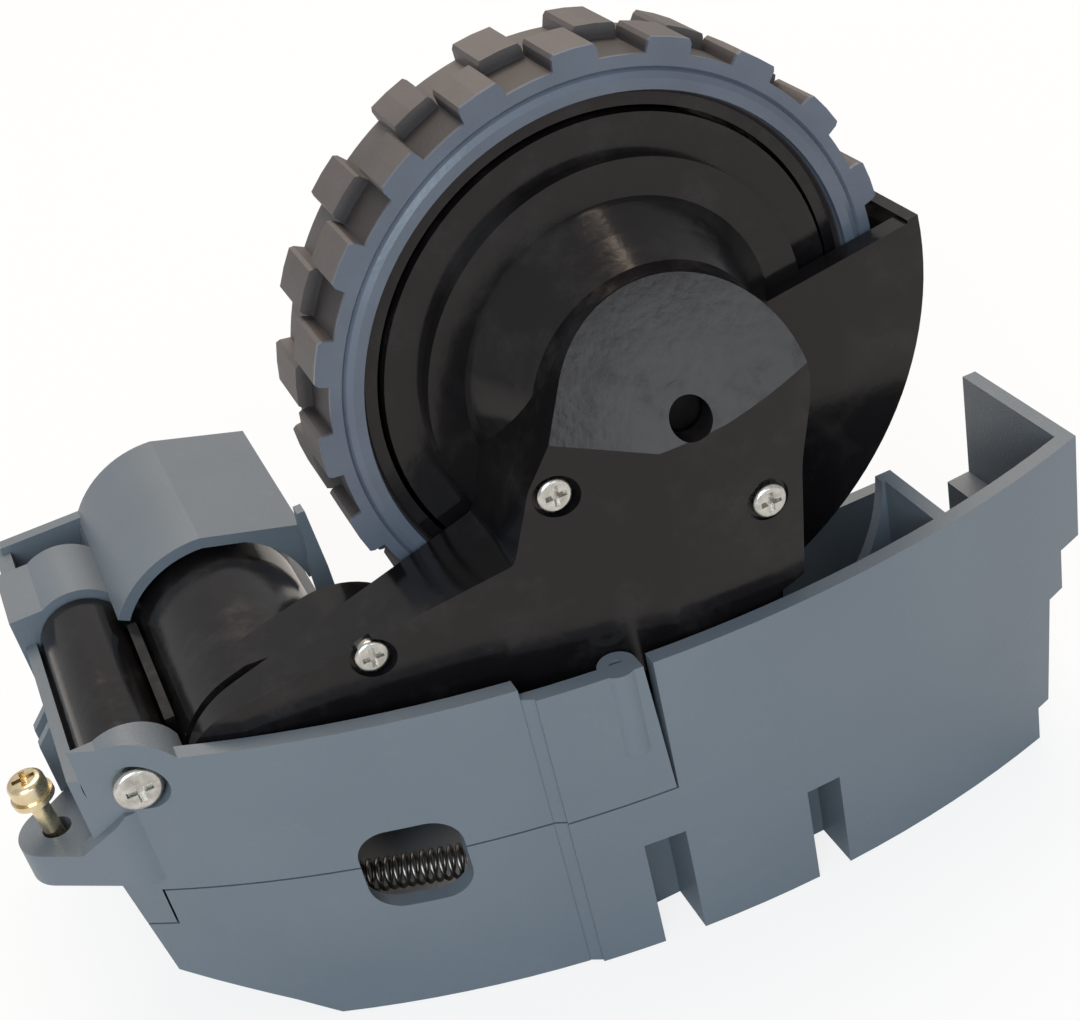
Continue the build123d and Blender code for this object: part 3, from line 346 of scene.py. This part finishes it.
# %% Finish the arm
arm_finish = Finish("black_plastic", (0.0065, 0.0058, 0.0062), roughness=0.2, specular=0.3)
wave = arm_finish.noise(scale=70.0, detail=2.0)
speck = arm_finish.noise(scale=900.0, detail=3.0)
handling = arm_finish.noise(scale=130.0, detail=9.0, rough=0.72)
smear = arm_finish.rise(handling, start=0.5, end=0.72)
smeared = arm_finish.mix(smear, (0.0052, 0.0046, 0.005), (0.014, 0.0125, 0.0125))
arm_finish.set("Base Color", smeared)
arm_finish.set("Specular Tint", (1.0, 0.93, 0.88, 1.0))
arm_finish.set("Roughness", wave * 0.1 + smear * 0.16 + speck * 0.06 + 0.08)
arm_finish.bump(wave + speck * 0.12, depth=0.00035, strength=0.35)
paint(arm_finish, "gearbox_case", "gearbox_cover", "wheel_rim", "motor_end_cap", "drop_switch",
      "encoder_wheel", "encoder_sensor")

# %% [markdown]
# ## Tyre rubber
# The tyre's near side and the near ends of its lugs are smooth blue-grey rubber. The tread is
# duller and browner, and the floors of the pockets between the near lugs are painted almost
# black: painted shade, as those deep pockets lie in shadow.
# Each part could have a material of its own, but their edges would be hard and would have to
# be picked by hand. Depth from the near side and distance from the axis tell them apart with
# soft edges, all round the tyre.

# %% Measure on the tyre
tyre_low, tyre_high = (Vector(corner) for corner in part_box("tyre"))
wheel_axis = (tyre_low + tyre_high) / 2
tyre_finish = Finish("tyre_rubber", (0.1, 0.11, 0.13), roughness=0.45, specular=0.6)
point_x, point_y, point_z = tyre_finish.axes()
depth = point_y - tyre_low.y
across = point_x - wheel_axis.x
height = point_z - wheel_axis.z
reach = (across * across + height * height) ** 0.5
print("wheel axis", [round(v, 4) for v in wheel_axis])

# %% Finish the tyre
tread = tyre_finish.rise(depth, start=0.0007, end=0.0011)
past_near_lugs = tyre_finish.rise(depth, start=0.0074, end=0.0082)
lug_tops = tyre_finish.rise(reach, start=0.0348, end=0.0358)
# This mask finds the floors of the pockets between the near lugs, where painted shade goes.
pocket_shade = tread * (1.0 - past_near_lugs) * (1.0 - lug_tops)
cloud = tyre_finish.noise(scale=120.0, detail=4.0)
grain = tyre_finish.noise(scale=1500.0, detail=2.0)
side = tyre_finish.mix(cloud, (0.045, 0.054, 0.072), (0.085, 0.1, 0.128))
dust = tyre_finish.mix(cloud, (0.04, 0.031, 0.028), (0.085, 0.072, 0.068))
worn = tyre_finish.mix(tread, side, dust)
# The pocket floors are mixed almost to black: painted shade, standing for the pockets' shadow.
tyre_finish.set("Base Color", tyre_finish.mix(pocket_shade * 0.9, worn, (0.012, 0.008, 0.008)))
tyre_finish.set("Roughness", tread * 0.2 + cloud * 0.1 + 0.3)
tyre_finish.bump(grain * 0.5 + cloud, depth=0.0002, strength=0.3)
paint(tyre_finish, "tyre")

# %% [markdown]
# ## Metals
# The screws and the washer are plated steel, bright with faint stains, and the captive one
# looks like brass.
# The motor's can, the pins, the contacts and the axle differ from them only in colour, gloss
# and grain, so one function makes them all. The axle and its bushes are painted almost black,
# as painted shade for the dark hole that they sit in.

# %% Finish the metals
def metal(name, dark, bright, roughness, grain):
    """A bare metal whose shade and gloss wander a little."""
    finish = Finish(name, bright, roughness, metallic=1.0)
    stain = finish.noise(scale=grain, detail=4.0)
    finish.set("Base Color", finish.mix(stain, dark, bright))
    finish.set("Roughness", stain * 0.2 + roughness)
    finish.bump(stain, depth=0.00008, strength=0.3)
    return finish


screw_finish = metal("screw_steel", (0.22, 0.2, 0.18), (0.78, 0.76, 0.7),
                     roughness=0.16, grain=900.0)
gold_finish = metal("gold_screw", (0.5, 0.36, 0.17), (0.95, 0.84, 0.6),
                    roughness=0.16, grain=700.0)
spring_finish = metal("spring_steel", (0.1, 0.09, 0.08), (0.42, 0.38, 0.35),
                      roughness=0.26, grain=900.0)
# Painted shade: the axle's metal is made almost black, because the hole round it lies in
# shadow.
axle_shade_finish = metal("axle_shade_steel", (0.008, 0.007, 0.007), (0.02, 0.018, 0.018),
                    roughness=0.5, grain=500.0)
can_finish = metal("motor_steel", (0.5, 0.5, 0.5), (0.72, 0.72, 0.73),
                   roughness=0.24, grain=300.0)
brass_finish = metal("brass", (0.6, 0.44, 0.19), (0.86, 0.69, 0.36),
                     roughness=0.2, grain=400.0)
contact_finish = metal("contact_metal", (0.6, 0.6, 0.57), (0.85, 0.85, 0.82),
                       roughness=0.18, grain=800.0)
paint(screw_finish, "cover_screws", "pivot_screw", "housing_screws", "wheel_screw",
      "wheel_washer", "motor_shaft", "gear_pins", "switch_lever")
paint(gold_finish, "captive_mount_screws")
paint(can_finish, "motor_can")
paint(brass_finish, "motor_pinion")
paint(axle_shade_finish, "drive_axle", "axle_bushes")
paint(contact_finish, "motor_terminals", "switch_pins", "connector_pins")

# %% [markdown]
# ## Gears
# The gears are unpainted pale nylon with a waxy look.
# Light that enters the plastic could be modelled, but it costs time and the gears lie hidden,
# so a soft cloud in shade and gloss stands for it.

# %% Finish the gears
gear_finish = Finish("gear_plastic", (0.78, 0.77, 0.71), roughness=0.4)
wax = gear_finish.noise(scale=160.0, detail=3.0)
gear_finish.set("Base Color", gear_finish.mix(wax, (0.7, 0.69, 0.62), (0.82, 0.81, 0.76)))
gear_finish.set("Roughness", wax * 0.15 + 0.32)
gear_finish.bump(wax, depth=0.0001, strength=0.2)
paint(gear_finish, "first_gear", "second_gear", "third_gear", "idler_gear", "output_gear")

# %% [markdown]
# ## Board and connector
# The sensor's board has a green lacquer over woven glass, which fine noise hints at under a
# thin coat. The connector is cream plastic, a little uneven in shade.

# %% Finish the board and the connector
board_finish = Finish("board_green", (0.02, 0.17, 0.07), roughness=0.3, coat=0.3)
weave = board_finish.noise(scale=1200.0, detail=2.0)
board_finish.set("Base Color", board_finish.mix(weave, (0.015, 0.12, 0.05), (0.03, 0.2, 0.09)))
board_finish.set("Roughness", weave * 0.2 + 0.2)
paint(board_finish, "encoder_board")
plug_finish = Finish("connector_plastic", (0.82, 0.8, 0.72), roughness=0.45)
blush = plug_finish.noise(scale=300.0, detail=3.0)
plug_finish.set("Base Color", plug_finish.mix(blush, (0.74, 0.72, 0.64), (0.85, 0.83, 0.76)))
plug_finish.set("Roughness", blush * 0.15 + 0.36)
paint(plug_finish, "connector_block")

# %% [markdown]
# ## The spring
# A wound spring pulls the arm down behind the window of the housing, with a hook on a peg at
# each end. The solid stands for it as a plain tube, but the eye expects wire.
# A helix could be a curve of many points, but the Screw modifier winds a small circle of wire
# in one step.
# The last quarter turn sets the two hooks square to each other, because their pegs are.
# The gaps below are measured along the spring, from the middle of each peg to the coils.

# %% Wind the coils
arm_peg = Vector((-0.039607, -0.0167, 0.013917))
housing_peg = Vector((-0.00865, -0.0325, 0.017))
along = (housing_peg - arm_peg).normalized()
coil_radius = 0.00192
wire_radius = 0.00027
arm_gap = 0.0052
housing_gap = 0.0046
coil_length = (housing_peg - arm_peg).length - arm_gap - housing_gap
turns = 21.25
steps_per_turn = 20
select_only()
bpy.ops.mesh.primitive_circle_add(vertices=10, radius=wire_radius,
                                  location=(coil_radius, 0, 0), rotation=(math.pi / 2, 0, 0))
spring = bpy.context.object
bpy.ops.object.transform_apply(location=True, rotation=True, scale=True)
winding = spring.modifiers.new("winding", "SCREW")
winding.axis = "Z"
winding.angle = 2 * math.pi * turns
winding.screw_offset = coil_length
winding.steps = winding.render_steps = round(turns * steps_per_turn)
bpy.ops.object.modifier_apply(modifier="winding")
print("wound wire faces", len(spring.data.polygons))

# %% [markdown]
# ## Picking an end
# The coil is a closed tube but for the two open rings at its ends, where the hooks begin.
# A ring could be picked by its numbers, but those change with the number of turns. Its edges
# have only one face, which Select Non Manifold finds, and their height tells the ends apart.

# %% Select the open ring at one end
def pick_end(level, above):
    """Select the open ring of wire above or below a level, and stay in edit mode."""
    select_only(spring)
    bpy.ops.object.mode_set(mode="EDIT")
    bpy.ops.mesh.select_mode(type="EDGE")
    bpy.ops.mesh.select_all(action="DESELECT")
    bpy.ops.mesh.select_non_manifold(extend=False, use_wire=False, use_multi_face=False,
                                     use_non_contiguous=False, use_verts=False)
    bpy.ops.object.mode_set(mode="OBJECT")
    corners = spring.data.vertices
    for edge in spring.data.edges:
        centre = (corners[edge.vertices[0]].co + corners[edge.vertices[1]].co) / 2
        if edge.select and (centre.z > level) != above:
            edge.select = False
    bpy.ops.object.mode_set(mode="EDIT")


# %% [markdown]
# ## Hooks
# Each end of the wire leaves the coil in a small bend, runs straight along the spring, and
# turns round its peg.
# A swept curve could do it too, but it would have to meet the coil exactly.
# The Spin tool sweeps the open ring about an axis, so one call is one bend, Extrude gives the
# straight run, and a last face closes the wire's end.

# %% Bend the two hooks
bend_radius = 0.0006
hook_turn = math.radians(250)
quarter_turn = math.radians(90)
peg_to_wire = 0.0013


def bend(centre, axis, angle, steps):
    """Sweep the selected ring about an axis through a centre."""
    bpy.ops.mesh.spin(steps=steps, angle=angle, center=centre, axis=axis)


def run_straight(length):
    """Draw the selected ring out along the spring."""
    bpy.ops.mesh.extrude_edges_move(TRANSFORM_OT_translate={"value": (0, 0, length)})


def close_end():
    """Fill the last ring and leave edit mode."""
    bpy.ops.mesh.edge_face_add()
    bpy.ops.object.mode_set(mode="OBJECT")


# The middle of a hook lies so far along the spring that its wire just clears the peg.
arm_hook = coil_radius - peg_to_wire - arm_gap
pick_end(coil_length / 2, above=False)
bend((coil_radius, 0, -bend_radius), (1, 0, 0), quarter_turn, steps=5)
run_straight(arm_hook + bend_radius)
bend((0, -bend_radius, arm_hook), (0, 1, 0), hook_turn, steps=20)
close_end()
housing_hook = coil_length + housing_gap + peg_to_wire - coil_radius
pick_end(coil_length / 2, above=True)
bend((0, coil_radius, coil_length + bend_radius), (0, 1, 0), quarter_turn, steps=5)
run_straight(housing_hook - coil_length - bend_radius)
bend((-bend_radius, 0, housing_hook), (1, 0, 0), hook_turn, steps=20)
close_end()
print("hooks at", [round(v, 4) for v in (arm_hook, housing_hook)])

# %% [markdown]
# ## Hanging the spring
# The spring was made standing on its own Z axis, and now takes its place between the pegs.
# Three directions, square to each other, make the matrix that lays it down: along the
# spring, and to its two sides, one of them as near as can be to the arm's peg.

# %% Hang the spring between its pegs
arm_peg_way = Vector((0, 1, 0))
side_way = (arm_peg_way - along * arm_peg_way.dot(along)).normalized()
third_way = side_way.cross(along)
turned = Matrix((third_way, side_way, along)).transposed().to_4x4()
start_point = arm_peg + along * arm_gap
select_only(spring)
spring.matrix_world = Matrix.Translation(start_point) @ turned
spring.name = spring.data.name = "spring_wire"
bpy.ops.object.transform_apply(location=True, rotation=True, scale=True)
bpy.ops.object.mode_set(mode="EDIT")
bpy.ops.mesh.select_all(action="SELECT")
bpy.ops.mesh.normals_make_consistent(inside=False)
bpy.ops.object.mode_set(mode="OBJECT")
bpy.ops.object.shade_smooth()
spring.data.materials.append(spring_finish.material)
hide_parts("extension_spring")
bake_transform(spring)
paint(spring_finish, "extension_spring")
print("spring faces", len(spring.data.polygons))
